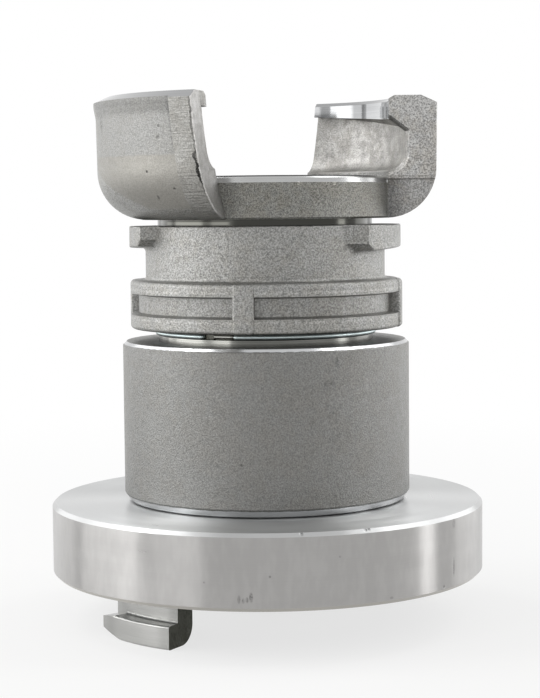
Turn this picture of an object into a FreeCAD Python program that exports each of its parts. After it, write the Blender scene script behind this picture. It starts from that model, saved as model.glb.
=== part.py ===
import FreeCAD, Part
import os
from math import asin, atan2, cos, degrees, hypot, radians, sin, sqrt, tan

# Hose coupling adapter: a claw half coupling with a locking ring, screwed through a
# sleeve to a lug half coupling. Millimetres. The axis of the waterway is Z, the plane
# under the two lugs is Z = 0, and the middle of one claw horn points along +X.

V = FreeCAD.Vector
ORIGIN = V(0, 0, 0)
UP = V(0, 0, 1)
FULL_TURN = 360.0

# Waterway
BORE_R = 20.0                 # 40 mm nominal bore

# Screwed joints, drawn as plain cylinders at the pitch line of the pipe thread
THREAD_R = 23.4
THREAD_FIT = 0.03
THREAD_LENGTH = 14.9
THREAD_CHAMFER = 0.8
GASKET_T = 2.0
GASKET_FIT = 0.15

# Lug disc
DISC_R = 49.0
DISC_T = 16.2
DISC_CHAMFER = 0.8
DISC_WEB_T = 5.0              # solid metal above the lug channel
LUG_INNER_R = 32.0            # lugs stand 64 mm apart inside
LUG_STEM_T = 5.7
LUG_HOOK_REACH = 3.5
LUG_HOOK_T = 5.1
LUG_NECK = 5.9                # clear height from the disc's face to the hook's ledge
LUG_SPAN = 31.0               # degrees
LUG_TURN = 18.2               # degrees from the middle of a claw horn
LUG_LEAD_IN = 0.9             # the ledge drops this much at the leading end
LUG_LEAD_SPAN = 7.5           # degrees
LUG_TOE_RISE = 1.7            # the underside rises this much at the leading end
LUG_TOE_SPAN = 11.0           # degrees
LUG_HEEL_R = 4.2              # rounding of the inner lower corner
LUG_EDGE_R = 0.4
CHANNEL_CLEARANCE = 0.5       # lug channel to the stem of the mating lug
BOSS_CLEARANCE = 1.0          # lug channel to the inside of the mating lug
LEDGE_T_OPEN = 4.5            # thickness of the rim ledge at its entry
LEDGE_T_TIGHT = 5.5           # and where the mating hook ends up
HOOK_CLEARANCE = 0.6
ENTRY_EXTRA = 4.0             # degrees that an entry gap is wider than a lug

# Face seal of the lug coupling
LUG_SEAL_INNER_R = 22.6
LUG_SEAL_OUTER_R = 27.4
LUG_SEAL_UNDERCUT = 1.1
LUG_SEAL_DEPTH = 6.4
LUG_SEAL_FOOT = 3.2
LUG_SEAL_PROUD = 0.9
LUG_SEAL_LIP_GAP = 1.1
SEAL_FIT = 0.1

# Sleeve
SLEEVE_R = 32.5
SLEEVE_LENGTH = 35.8
SLEEVE_GAP = 0.4              # shadow gap above the disc
SLEEVE_TOP_CHAMFER = 0.85
SLEEVE_FOOT_CHAMFER = 1.7
SLEEVE_FOOT_INSET = 1.15
SLEEVE_WEB_CLEARANCE = 0.5    # web bore is wider than the waterway by this

# Neck and retaining wire
NECK_R = 24.3
WIRE_D = 1.4
WIRE_HEIGHT = 2.0             # middle of the wire above the sleeve
WIRE_PROUD = 0.8              # how far the wire stands out of the neck
WIRE_SLACK = 0.05
WIRE_GAP_START = -148.7       # degrees
WIRE_GAP_SPAN = 16.9
WIRE_POCKET_SPAN = 4.8        # release pocket in the neck beside the wire's end
WIRE_POCKET_DEPTH = 2.2

# Locking ring
RING_PLAY = 0.2               # ring above the wire at rest
RING_FIT = 0.08               # running fit on the neck
RING_H = 23.0
RING_R = 27.1
RING_TOP_EDGE = 0.35
BAND_H = 10.9
BAND_R = 30.6
BAND_TOP_ROUND = 1.1
BAND_FOOT_ROUND = 0.8
BAND_UPPER_RIM = 2.5
BAND_LOWER_RIM = 2.9
POCKET_FLOOR_R = 28.7
POCKET_DRAFT = 0.8
RIB_COUNT = 4
RIB_R = 31.05
RIB_SPAN = 8.8                # degrees
RIB_EDGE_R = 0.6
RING_TURN = -34.5             # degrees from a claw horn to a ring lug at rest
RING_LUG_R = 30.7
RING_LUG_T = 5.6              # thickness at the leading end
RING_LUG_RAMP = 1.2           # it is this much thinner at the trailing end
RING_LUG_LEAD = 21.0          # leading end face from the axis
RING_LUG_TRAIL = 13.7         # trailing end face from the axis
RING_LUG_SKEW = 9.0           # degrees between the end faces and the lug's middle
RING_LUG_ROUND = 1.0           # cove at the root
RING_LUG_TOE = 1.5             # slanted corner between an end face and the underside
RING_LUG_EDGE_R = 0.3

# Flange of the claw half
RING_HEADROOM = 1.4           # ring to flange when the ring lies on the wire
FLANGE_R = 28.1
FLANGE_T = 7.8
FLANGE_FOOT_EDGE = 0.4
RIM_INSET = 0.1               # the turned rim is this much smaller
RIM_T = 1.3
RIM_EDGE = 0.3

# Face seal of the claw coupling
CLAW_SEAL_R = 25.4
CLAW_SEAL_UNDERCUT = 1.0
CLAW_SEAL_DEPTH = 5.2
CLAW_SEAL_FOOT = 2.6
CLAW_SEAL_PROUD = 0.3
CLAW_SEAL_BORE_FIT = 0.3

# Claw horns
LIP_CLEARANCE = 0.3           # lip to the rim of the mating flange
RECESS_CLEARANCE = 1.3        # recess wall to the lugs of the mating locking ring
HORN_WALL = 5.4               # recess wall to the sunk outer panel
HORN_TOP = 18.1               # above the rim
HORN_FOOT_ROUND = 11.0
HORN_BAND = 1.6               # the slanted end's band stands this much above the panel
HORN_RIM_STEP = 0.9           # top rim above the panel's foot
PANEL_DRAFT = 0.4             # the panel leans out this much up to the rim
PANEL_STRAIGHT = -20.0        # from this angle the panel runs straight to the near end
HORN_RIM_T = 3.0              # top of the horn to the middle of the step below the rim
HORN_RIM_EASE = 1.2           # half the height of that step
HORN_RIM_ROUND = 6.0
HORN_FLOOR_RISE = 1.7         # recess floor above the rim
HORN_FLOOR_ROUND = 3.8
HORN_ROOF_DROP = 2.4          # the roof falls this much outwards at the near end
RECESS_BEVEL = 1.1            # round the mouth of the recess at the near end
HORN_CHAMFER_H = 1.6
HORN_CHAMFER_W = 3.4
LIP_CHAMFER_H = 0.8
LIP_CHAMFER_W = 1.3
LIP_T_THICK = 5.5             # lip at the near end
LIP_T_THIN = 3.3              # lip at the slanted end
NEAR_FACE_SKEW = -26.0        # plan direction of the near end face, degrees
NEAR_FACE_OFFSET = -6.05      # its distance from the axis
NEAR_FOOT_STEP = 0.35         # the face is set back below the ground part
NEAR_FOOT_H = 8.8             # height of the part that is not ground
FAR_FACE_SKEW = 48.6          # plan direction of the slanted end face, degrees
FAR_FACE_TOP = -4.9           # distances of that face from the axis
FAR_FACE_MIDDLE = -3.3
FAR_FACE_FOOT = -0.5
FAR_BAND_W = 5.2
HORN_EDGE_R = 0.4             # outer edges of the end faces
HORN_BLANK_SPAN = 120.0       # degrees, before the end faces are cut

# Heights that follow
DISC_FACE_Z = LUG_NECK + LUG_HOOK_T
DISC_TOP_Z = DISC_FACE_Z + DISC_T
SLEEVE_Z = DISC_TOP_Z + SLEEVE_GAP
SLEEVE_TOP_Z = SLEEVE_Z + SLEEVE_LENGTH
WIRE_Z = SLEEVE_TOP_Z + WIRE_HEIGHT
RING_Z = WIRE_Z + WIRE_D / 2 + RING_PLAY
RING_TOP_Z = RING_Z + RING_H
FLANGE_Z = RING_TOP_Z + RING_HEADROOM
RIM_Z = FLANGE_Z + FLANGE_T
RIM_TOP_Z = RIM_Z + RIM_T
HORN_TOP_Z = RIM_TOP_Z + HORN_TOP

# Radii and places that follow
LUG_STEM_R = LUG_INNER_R + LUG_STEM_T
LUG_HOOK_R = LUG_STEM_R + LUG_HOOK_REACH
BOSS_R = LUG_INNER_R - BOSS_CLEARANCE
LEDGE_R = LUG_STEM_R + CHANNEL_CLEARANCE
TRACK_R = LUG_HOOK_R + HOOK_CLEARANCE
CHANNEL_Z = DISC_TOP_Z - DISC_WEB_T
SPIGOT_TOP_Z = SLEEVE_Z + THREAD_LENGTH
TAIL_Z = SLEEVE_TOP_Z - THREAD_LENGTH
WEB_R = BORE_R + SLEEVE_WEB_CLEARANCE
BAND_TOP_Z = RING_Z + BAND_H
LIP_R = FLANGE_R + LIP_CLEARANCE
RECESS_R = RING_LUG_R + RECESS_CLEARANCE
HORN_ROOT_R = (CLAW_SEAL_R + CLAW_SEAL_UNDERCUT + FLANGE_R) / 2
PANEL_R = RECESS_R + HORN_WALL
HORN_R = PANEL_R + HORN_BAND
HORN_RIM_R = PANEL_R + HORN_RIM_STEP
HORN_FOOT_Z = FLANGE_Z
FAR_OUT = 2 * DISC_R
TOLERANCE = 0.01


def rounded_face(corners):
    """Face in the XZ plane. A corner is (r, z) or (r, z, rounding radius)."""
    points = [V(c[0], 0, c[1]) for c in corners]
    radii = [c[2] if len(c) > 2 else 0.0 for c in corners]
    edges = []
    ends = []
    for i, corner in enumerate(points):
        if radii[i] == 0.0:
            ends.append((corner, corner))
            continue
        back = (points[i - 1] - corner).normalize()
        ahead = (points[(i + 1) % len(points)] - corner).normalize()
        half = back.getAngle(ahead) / 2
        trim = radii[i] / tan(half)
        centre = corner + (back + ahead).normalize() * (radii[i] / sin(half))
        middle = centre + (corner - centre).normalize() * radii[i]
        first = corner + back * trim
        last = corner + ahead * trim
        edges.append((i, Part.Arc(first, middle, last).toShape()))
        ends.append((first, last))
    arcs = dict(edges)
    path = []
    for i in range(len(points)):
        if i in arcs:
            path.append(arcs[i])
        start = ends[i][1]
        stop = ends[(i + 1) % len(points)][0]
        if start.distanceToPoint(stop) > 1e-6:
            path.append(Part.makeLine(start, stop))
    return Part.Face(Part.Wire(path))


def turned(corners, start=0.0, sweep=FULL_TURN):
    """Solid of revolution about Z, whole or a sector from the start angle."""
    face = rounded_face(corners)
    face.rotate(ORIGIN, UP, start)
    return face.revolve(ORIGIN, UP, sweep)


def ring(inner, outer, bottom, top, start=0.0, sweep=FULL_TURN):
    """Plain ring or sector of a ring."""
    corners = [(inner, bottom), (outer, bottom), (outer, top), (inner, top)]
    return turned(corners, start, sweep)


def beyond(edge, direction, side):
    """Everything on one side of an upright surface that runs in a plan direction.

    The edge is a list of (offset, z) from the top down, where the offset is the
    distance from the axis to the surface. With three points it is an arc.
    """
    points = [V(0, offset, z) for offset, z in edge]
    away = side * FAR_OUT
    high = V(0, away, points[0].z)
    low = V(0, away, points[-1].z)
    if len(points) == 3:
        face_edges = [Part.Arc(*points).toShape()]
    else:
        face_edges = [Part.makeLine(a, b) for a, b in zip(points, points[1:])]
    face_edges += [
        Part.makeLine(points[-1], low),
        Part.makeLine(low, high),
        Part.makeLine(high, points[0]),
    ]
    solid = Part.Face(Part.Wire(face_edges)).extrude(V(FAR_OUT, 0, 0))
    solid.rotate(ORIGIN, UP, direction)
    return solid


def tilted_below(height, rise, reach, middle_angle):
    """Everything under a plane that climbs by rise along an arc's chord.

    The plane has the given height in the middle of the arc, whose half chord is
    reach, and climbs towards larger angles.
    """
    block = Part.makeBox(2 * FAR_OUT, 2 * FAR_OUT, FAR_OUT, V(-FAR_OUT, -FAR_OUT, -FAR_OUT))
    block.rotate(ORIGIN, V(1, 0, 0), degrees(asin(rise / sqrt(rise**2 + (2 * reach) ** 2))))
    block.rotate(ORIGIN, UP, middle_angle)
    block.translate(V(0, 0, height))
    return block


def both_sides(shape):
    """The shape and its copy half a turn on."""
    other = shape.copy()
    other.rotate(ORIGIN, UP, FULL_TURN / 2)
    return [shape, other]


def middle_of(edge):
    """Distance from the axis, and height, of the middle of an edge."""
    point = edge.valueAt((edge.FirstParameter + edge.LastParameter) / 2)
    return hypot(point.x, point.y), point.z


def rounded(shape, radius, test):
    """The shape with every edge rounded whose middle passes the test."""
    return shape.makeFillet(radius, [edge for edge in shape.Edges if test(edge, *middle_of(edge))])


def is_straight(edge):
    return edge.Curve.TypeId == "Part::GeomLine"


def is_level(edge):
    """Whether an edge is an arc about the axis, or the outline of a level face."""
    return edge.BoundBox.ZLength < TOLERANCE


# Lug disc


def lug():
    """One lug: a stem on the floor of the channel and a hook that points outwards."""
    root_z = CHANNEL_Z + DISC_WEB_T / 2
    section = [
        (LUG_INNER_R, root_z),
        (LUG_INNER_R, 0, LUG_HEEL_R),
        (LUG_HOOK_R, 0, LUG_EDGE_R),
        (LUG_HOOK_R, LUG_HOOK_T, LUG_EDGE_R),
        (LUG_STEM_R, LUG_HOOK_T, LUG_EDGE_R),
        (LUG_STEM_R, root_z),
    ]
    body = turned(section, -LUG_SPAN / 2, LUG_SPAN)
    stem = Part.makeCylinder(LUG_STEM_R, 2 * FAR_OUT, V(0, 0, -FAR_OUT))
    lead_in = falling_away(LUG_HOOK_T, LUG_LEAD_IN, LUG_LEAD_SPAN, FAR_OUT).cut(stem)
    toe = falling_away(0, -LUG_TOE_RISE, LUG_TOE_SPAN, -FAR_OUT)
    return body.cut([lead_in, toe])


def falling_away(height, drop, span, away):
    """Prism beyond a slope at the leading end of a lug.

    The slope leaves the given height span degrees before the end, and has dropped
    by drop at the end. The prism is the side of it that lies away from the height.
    """
    tip = V(0, -LUG_HOOK_R * sin(radians(LUG_SPAN / 2 - span)), height)
    end = V(0, -LUG_HOOK_R * sin(radians(LUG_SPAN / 2)), height - drop)
    far = tip + (end - tip) * (FAR_OUT / LUG_HOOK_R)
    beyond_far = V(0, far.y, away)
    return Part.Face(Part.makePolygon([tip, far, beyond_far, tip])).extrude(V(FAR_OUT, 0, 0))


def lug_disc():
    """Turned disc with a screwed spigot, a seal boss, a lug channel and two lugs."""
    seal_top = DISC_FACE_Z + LUG_SEAL_DEPTH
    foot_z = seal_top - LUG_SEAL_FOOT
    undercut_r = LUG_SEAL_OUTER_R + LUG_SEAL_UNDERCUT
    body = turned(
        [
            (BORE_R, DISC_FACE_Z),
            (LUG_SEAL_INNER_R, DISC_FACE_Z),
            (LUG_SEAL_INNER_R, seal_top),
            (undercut_r, seal_top),
            (undercut_r, foot_z),
            (LUG_SEAL_OUTER_R, foot_z),
            (LUG_SEAL_OUTER_R, DISC_FACE_Z),
            (BOSS_R - DISC_CHAMFER / 2, DISC_FACE_Z),
            (BOSS_R, DISC_FACE_Z + DISC_CHAMFER / 2),
            (BOSS_R, CHANNEL_Z, DISC_CHAMFER),
            (LEDGE_R, CHANNEL_Z),
            (LEDGE_R, DISC_FACE_Z + DISC_CHAMFER / 2),
            (LEDGE_R + DISC_CHAMFER / 2, DISC_FACE_Z),
            (DISC_R - DISC_CHAMFER, DISC_FACE_Z),
            (DISC_R, DISC_FACE_Z + DISC_CHAMFER),
            (DISC_R, DISC_TOP_Z - DISC_CHAMFER),
            (DISC_R - DISC_CHAMFER, DISC_TOP_Z),
            (THREAD_R, DISC_TOP_Z),
            (THREAD_R, SPIGOT_TOP_Z - THREAD_CHAMFER),
            (THREAD_R - THREAD_CHAMFER, SPIGOT_TOP_Z),
            (BORE_R, SPIGOT_TOP_Z),
        ]
    )
    half_gap = (LUG_SPAN + ENTRY_EXTRA) / 2
    gap_middle = LUG_SPAN / 2 + half_gap
    track_start = gap_middle + half_gap
    track_end = FULL_TURN / 2 - LUG_SPAN / 2
    track_middle = (track_start + track_end) / 2
    reach = LEDGE_R * sin(radians((track_end - track_start) / 2))
    ledge_middle = DISC_FACE_Z + (LEDGE_T_OPEN + LEDGE_T_TIGHT) / 2
    under = tilted_below(ledge_middle, LEDGE_T_TIGHT - LEDGE_T_OPEN, reach, track_middle)
    inside = (LUG_STEM_R + BOSS_R) / 2
    entry = ring(inside, TRACK_R, DISC_FACE_Z - DISC_CHAMFER, CHANNEL_Z, gap_middle - half_gap, 2 * half_gap)
    track = ring(inside, TRACK_R, DISC_FACE_Z, CHANNEL_Z, track_start, track_end - track_start).cut(under)
    cuts = both_sides(entry) + both_sides(track)
    body = body.cut(cuts).fuse(both_sides(lug())).removeSplitter()
    body.rotate(ORIGIN, UP, LUG_TURN)
    return body


def lug_seal():
    """Rubber ring with a foot in the undercut and a split pressure lip."""
    top = DISC_FACE_Z + LUG_SEAL_DEPTH
    foot_z = top - LUG_SEAL_FOOT + SEAL_FIT
    outer = LUG_SEAL_OUTER_R - SEAL_FIT
    inner = LUG_SEAL_INNER_R + SEAL_FIT
    lip = DISC_FACE_Z - LUG_SEAL_PROUD
    middle = (inner + outer) / 2
    return turned(
        [
            (inner, top),
            (inner, DISC_FACE_Z, LUG_SEAL_PROUD),
            (inner + LUG_SEAL_LIP_GAP, DISC_FACE_Z, LUG_SEAL_PROUD / 2),
            (middle, foot_z, LUG_SEAL_PROUD / 2),
            (middle + LUG_SEAL_LIP_GAP, lip, LUG_SEAL_PROUD / 2),
            (outer, lip, LUG_SEAL_PROUD),
            (outer, foot_z),
            (outer + LUG_SEAL_UNDERCUT, foot_z),
            (outer + LUG_SEAL_UNDERCUT, top),
        ]
    )


# Sleeve and its gaskets


def sleeve():
    """Threaded sleeve with a web between its two sockets and turned ends."""
    socket_r = THREAD_R + THREAD_FIT
    lower_web = SPIGOT_TOP_Z + GASKET_T
    upper_web = TAIL_Z - GASKET_T
    mouth = SLEEVE_TOP_CHAMFER
    return turned(
        [
            (socket_r + mouth, SLEEVE_Z),
            (SLEEVE_R - SLEEVE_FOOT_INSET, SLEEVE_Z),
            (SLEEVE_R, SLEEVE_Z + SLEEVE_FOOT_CHAMFER),
            (SLEEVE_R, SLEEVE_TOP_Z - SLEEVE_TOP_CHAMFER),
            (SLEEVE_R - SLEEVE_TOP_CHAMFER, SLEEVE_TOP_Z),
            (socket_r, SLEEVE_TOP_Z),
            (socket_r, upper_web),
            (WEB_R, upper_web),
            (WEB_R, lower_web),
            (socket_r, lower_web),
            (socket_r, SLEEVE_Z + mouth),
        ]
    )


def gasket(bottom):
    return ring(WEB_R, THREAD_R - GASKET_FIT, bottom, bottom + GASKET_T)


# Claw half


def wire_ring(slack=0.0, start=0.0, sweep=FULL_TURN):
    """Round wire round the neck, or with slack the groove that it lies in."""
    radius = WIRE_D / 2 + slack
    centre = NECK_R + WIRE_PROUD - WIRE_D / 2
    disc = Part.Face(Part.Wire(Part.makeCircle(radius, V(centre, 0, WIRE_Z), V(0, 1, 0))))
    disc.rotate(ORIGIN, UP, start)
    return disc.revolve(ORIGIN, UP, sweep)


def retaining_ring():
    return wire_ring(0.0, WIRE_GAP_START + WIRE_GAP_SPAN, FULL_TURN - WIRE_GAP_SPAN)


def horn_blank():
    """Horn with its raised outline and both end faces cut, standing along +X."""
    section = [
        (HORN_ROOT_R, HORN_FOOT_Z),
        (HORN_R, HORN_FOOT_Z, HORN_FOOT_ROUND),
        (HORN_R, HORN_TOP_Z - HORN_CHAMFER_H),
        (HORN_R - HORN_CHAMFER_W, HORN_TOP_Z),
        (LIP_R + LIP_CHAMFER_W, HORN_TOP_Z),
        (LIP_R, HORN_TOP_Z - LIP_CHAMFER_H),
        (LIP_R, RIM_TOP_Z),
        (HORN_ROOT_R, RIM_Z),
    ]
    blank = turned(section, -HORN_BLANK_SPAN / 2, HORN_BLANK_SPAN)
    near_edge = [(NEAR_FACE_OFFSET, HORN_TOP_Z), (NEAR_FACE_OFFSET, 0)]
    blank = blank.cut(beyond(near_edge, NEAR_FACE_SKEW, -1))
    blank = blank.cut(beyond(far_edge(0.0), FAR_FACE_SKEW, 1))
    blank = rounded(blank, HORN_EDGE_R, is_outer_end_edge)
    crease_z = HORN_FOOT_Z + NEAR_FOOT_H
    set_back = [
        (NEAR_FACE_OFFSET, crease_z),
        (NEAR_FACE_OFFSET + NEAR_FOOT_STEP, crease_z - NEAR_FOOT_STEP),
        (NEAR_FACE_OFFSET + NEAR_FOOT_STEP, HORN_FOOT_Z),
        (NEAR_FACE_OFFSET + NEAR_FOOT_STEP, 0),
    ]
    return blank.cut(beyond(set_back, NEAR_FACE_SKEW, -1))


def is_outer_end_edge(edge, distance, z):
    """Whether an edge runs up the outside of a horn at one of its end faces."""
    upright = HORN_FOOT_Z + TOLERANCE < z < HORN_TOP_Z - HORN_CHAMFER_H
    return distance > RECESS_R and upright and not is_level(edge)


def far_edge(inset):
    """The slanted end face's edge, or a line inside it for the end band."""
    return [
        (FAR_FACE_TOP - inset, HORN_TOP_Z),
        (FAR_FACE_MIDDLE - inset, (HORN_TOP_Z + HORN_FOOT_Z) / 2),
        (FAR_FACE_FOOT - inset, HORN_FOOT_Z),
    ]


def lip_recess():
    """Hollow behind the lip.

    Its roof climbs as a ramp towards the slanted end, level across at that end and
    falling outwards at the near one.
    """
    floor_z = RIM_TOP_Z + HORN_FLOOR_RISE
    inner = LIP_R - HORN_WALL
    thick_z = HORN_TOP_Z - LIP_T_THICK
    thin_z = HORN_TOP_Z - LIP_T_THIN
    hollow = turned(
        [
            (inner, floor_z),
            (RECESS_R, floor_z, HORN_FLOOR_ROUND),
            (RECESS_R, HORN_TOP_Z),
            (inner, HORN_TOP_Z),
        ],
        -HORN_BLANK_SPAN / 2,
        HORN_BLANK_SPAN,
    )
    reach = -LIP_R * sin(radians(NEAR_FACE_SKEW) + asin(NEAR_FACE_OFFSET / LIP_R))
    ramp = tilted_below((thick_z + thin_z) / 2, thin_z - thick_z, reach, 0)
    slope = HORN_ROOF_DROP / (RECESS_R - LIP_R)
    wall_z = (thick_z - HORN_ROOF_DROP + thin_z) / 2
    falling = turned(
        [
            (BORE_R, FLANGE_Z),
            (HORN_R, FLANGE_Z),
            (HORN_R, wall_z - slope * (HORN_R - RECESS_R)),
            (BORE_R, wall_z + slope * (RECESS_R - BORE_R)),
        ]
    )
    climb = atan2(thin_z - thick_z + HORN_ROOF_DROP, 2 * reach)
    falling.rotate(V(0, 0, wall_z), V(1, 0, 0), degrees(climb))
    return hollow.common(ramp).common(falling)


def is_recess_mouth(edge, distance, z):
    """Whether an edge is where the near end face meets the recess's wall or roof."""
    middle = edge.valueAt((edge.FirstParameter + edge.LastParameter) / 2)
    offset = distance * sin(atan2(middle.y, middle.x) - radians(NEAR_FACE_SKEW))
    on_face = abs(offset - NEAR_FACE_OFFSET) < TOLERANCE
    inside = LIP_R + TOLERANCE < distance < RECESS_R + TOLERANCE
    corner_z = RIM_TOP_Z + HORN_FLOOR_RISE + HORN_FLOOR_ROUND
    return on_face and inside and corner_z < z < HORN_TOP_Z - LIP_T_THICK / 2


def outer_panel():
    """What is taken off the outside of a horn up to the slanted end's band.

    The panel's outline is turned about the axis, and runs on straight, as a tangent,
    to the near end.
    """
    rim_z = HORN_TOP_Z - HORN_RIM_T
    low = HORN_FOOT_Z - HORN_WALL
    high = HORN_TOP_Z + HORN_WALL
    face = rounded_face(
        [
            (NECK_R, HORN_FOOT_Z),
            (PANEL_R, HORN_FOOT_Z, HORN_FOOT_ROUND),
            (PANEL_R + PANEL_DRAFT, rim_z - HORN_RIM_EASE, HORN_RIM_ROUND),
            (HORN_RIM_R, rim_z + HORN_RIM_EASE, HORN_RIM_ROUND),
            (HORN_RIM_R, high),
            (HORN_R + HORN_WALL, high),
            (HORN_R + HORN_WALL, low),
            (NECK_R, low),
        ]
    )
    face.rotate(ORIGIN, UP, PANEL_STRAIGHT)
    along = V(sin(radians(PANEL_STRAIGHT)), -cos(radians(PANEL_STRAIGHT)), 0)
    straight = face.extrude(along * HORN_R)
    cut = face.revolve(ORIGIN, UP, HORN_BLANK_SPAN / 2 - PANEL_STRAIGHT).fuse(straight)
    return cut.cut(beyond(far_edge(FAR_BAND_W), FAR_FACE_SKEW, 1))


def claw_head():
    """Cast claw half: flange, two hooked horns, neck and screwed tail."""
    seal_z = RIM_TOP_Z - CLAW_SEAL_DEPTH
    foot_top = seal_z + CLAW_SEAL_FOOT
    undercut_r = CLAW_SEAL_R + CLAW_SEAL_UNDERCUT
    rim_r = FLANGE_R - RIM_INSET
    body = turned(
        [
            (BORE_R, TAIL_Z),
            (THREAD_R - THREAD_CHAMFER, TAIL_Z),
            (THREAD_R, TAIL_Z + THREAD_CHAMFER),
            (THREAD_R, SLEEVE_TOP_Z),
            (NECK_R, SLEEVE_TOP_Z),
            (NECK_R, FLANGE_Z),
            (FLANGE_R - FLANGE_FOOT_EDGE, FLANGE_Z),
            (FLANGE_R, FLANGE_Z + FLANGE_FOOT_EDGE),
            (FLANGE_R, RIM_Z),
            (rim_r, RIM_Z),
            (rim_r, RIM_TOP_Z - RIM_EDGE),
            (rim_r - RIM_EDGE, RIM_TOP_Z),
            (CLAW_SEAL_R, RIM_TOP_Z),
            (CLAW_SEAL_R, foot_top),
            (undercut_r, foot_top),
            (undercut_r, seal_z),
            (BORE_R, seal_z),
        ]
    )
    horn = horn_blank().cut(lip_recess())
    mouth = [edge for edge in horn.Edges if is_recess_mouth(edge, *middle_of(edge))]
    horn = horn.makeChamfer(RECESS_BEVEL, mouth).cut(outer_panel())
    body = body.fuse(both_sides(horn)).removeSplitter()
    pocket = ring(
        NECK_R - WIRE_POCKET_DEPTH,
        NECK_R + WIRE_D,
        WIRE_Z - WIRE_D / 2,
        WIRE_Z + WIRE_D / 2,
        WIRE_GAP_START,
        WIRE_POCKET_SPAN,
    )
    return body.cut([wire_ring(WIRE_SLACK), pocket])


def claw_seal():
    """Rubber face seal with a foot held in the undercut of the flange."""
    bottom = RIM_TOP_Z - CLAW_SEAL_DEPTH
    foot_top = bottom + CLAW_SEAL_FOOT - SEAL_FIT
    outer = CLAW_SEAL_R - SEAL_FIT
    inner = BORE_R + CLAW_SEAL_BORE_FIT
    top = RIM_TOP_Z + CLAW_SEAL_PROUD
    return turned(
        [
            (inner, bottom),
            (outer + CLAW_SEAL_UNDERCUT, bottom),
            (outer + CLAW_SEAL_UNDERCUT, foot_top),
            (outer, foot_top),
            (outer, top, CLAW_SEAL_PROUD),
            (inner, top, 3 * CLAW_SEAL_PROUD),
        ]
    )


def ring_lug():
    """One lug of the locking ring, with a ramp below and skewed end faces."""
    low = RING_TOP_Z - RING_LUG_T
    high = low + RING_LUG_RAMP
    side = Part.makePolygon(
        [
            V(0, -RING_LUG_LEAD, RING_TOP_Z),
            V(0, -RING_LUG_LEAD, low + RING_LUG_TOE),
            V(0, RING_LUG_TOE - RING_LUG_LEAD, low),
            V(0, RING_LUG_TRAIL - RING_LUG_TOE, high),
            V(0, RING_LUG_TRAIL, high + RING_LUG_TOE),
            V(0, RING_LUG_TRAIL, RING_TOP_Z),
            V(0, -RING_LUG_LEAD, RING_TOP_Z),
        ]
    )
    block = Part.Face(side).extrude(V(FAR_OUT, 0, 0))
    block.rotate(ORIGIN, UP, RING_LUG_SKEW)
    band = ring(RING_R - RING_LUG_ROUND, RING_LUG_R, RING_Z, RING_TOP_Z)
    return rounded(block.common(band), RING_LUG_EDGE_R, is_lug_outer_edge)


def is_lug_outer_edge(edge, distance, z):
    return abs(distance - RING_LUG_R) < TOLERANCE


def is_lug_root_edge(edge, distance, z):
    """Whether an edge is in the inner corner under a lug of the locking ring."""
    low = RING_TOP_Z - RING_LUG_T
    under = low < z < low + RING_LUG_RAMP + RING_LUG_TOE
    return abs(distance - RING_R) < TOLERANCE and under and not is_straight(edge)


def is_rib_upright(edge, distance, z):
    return abs(distance - RIB_R) < TOLERANCE and is_straight(edge)


def locking_ring():
    """Cast locking ring: plain bore, gripping band with ribs, and two ramped lugs."""
    bore_r = NECK_R + RING_FIT
    body = turned(
        [
            (bore_r, RING_Z),
            (BAND_R, RING_Z, BAND_FOOT_ROUND),
            (BAND_R, BAND_TOP_Z, BAND_TOP_ROUND),
            (RING_R, BAND_TOP_Z, BAND_FOOT_ROUND),
            (RING_R, RING_TOP_Z, RING_TOP_EDGE),
            (bore_r, RING_TOP_Z),
        ]
    )
    pocket = [
        (POCKET_FLOOR_R, RING_Z + BAND_LOWER_RIM + POCKET_DRAFT),
        (BAND_R + RIB_R - POCKET_FLOOR_R, RING_Z + BAND_LOWER_RIM - POCKET_DRAFT * (RIB_R - BAND_R) / 2),
        (BAND_R + RIB_R - POCKET_FLOOR_R, BAND_TOP_Z - BAND_UPPER_RIM + POCKET_DRAFT * (RIB_R - BAND_R) / 2),
        (POCKET_FLOOR_R, BAND_TOP_Z - BAND_UPPER_RIM - POCKET_DRAFT),
    ]
    rib = turned(
        [
            (RING_R - RING_LUG_ROUND, RING_Z),
            (RIB_R, RING_Z, BAND_FOOT_ROUND),
            (RIB_R, BAND_TOP_Z, BAND_TOP_ROUND),
            (RING_R - RING_LUG_ROUND, BAND_TOP_Z),
        ],
        -RIB_SPAN / 2,
        RIB_SPAN,
    )
    rib = rounded(rib, RIB_EDGE_R, is_rib_upright)
    pitch = FULL_TURN / RIB_COUNT
    pockets = []
    ribs = []
    for i in range(RIB_COUNT):
        pockets.append(turned(pocket, i * pitch + RIB_SPAN / 2, pitch - RIB_SPAN))
        copy = rib.copy()
        copy.rotate(ORIGIN, UP, i * pitch)
        ribs.append(copy)
    body = body.cut(pockets).fuse(ribs + both_sides(ring_lug())).removeSplitter()
    body = rounded(body, RING_LUG_ROUND, is_lug_root_edge)
    body.rotate(ORIGIN, UP, RING_TURN)
    return body


def main():
    pieces = {
        "lug_disc": lug_disc(),
        "lug_seal": lug_seal(),
        "sleeve": sleeve(),
        "lower_gasket": gasket(SPIGOT_TOP_Z),
        "upper_gasket": gasket(TAIL_Z - GASKET_T),
        "claw_head": claw_head(),
        "claw_seal": claw_seal(),
        "retaining_ring": retaining_ring(),
        "locking_ring": locking_ring(),
    }
    os.makedirs("parts", exist_ok=True)
    for name, shape in pieces.items():
        solid = shape.Solids[0] if len(shape.Solids) == 1 else shape
        solid.exportStep("parts/" + name + ".step")
        print(name, "solids", len(shape.Solids), "valid", solid.isValid(), "volume", round(solid.Volume, 1))


main()
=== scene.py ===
import logging
import math
from abc import ABC, abstractmethod
from dataclasses import dataclass, field
from enum import Enum
from typing import Sequence, Union

import bpy
from mathutils import Matrix, Vector


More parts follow.
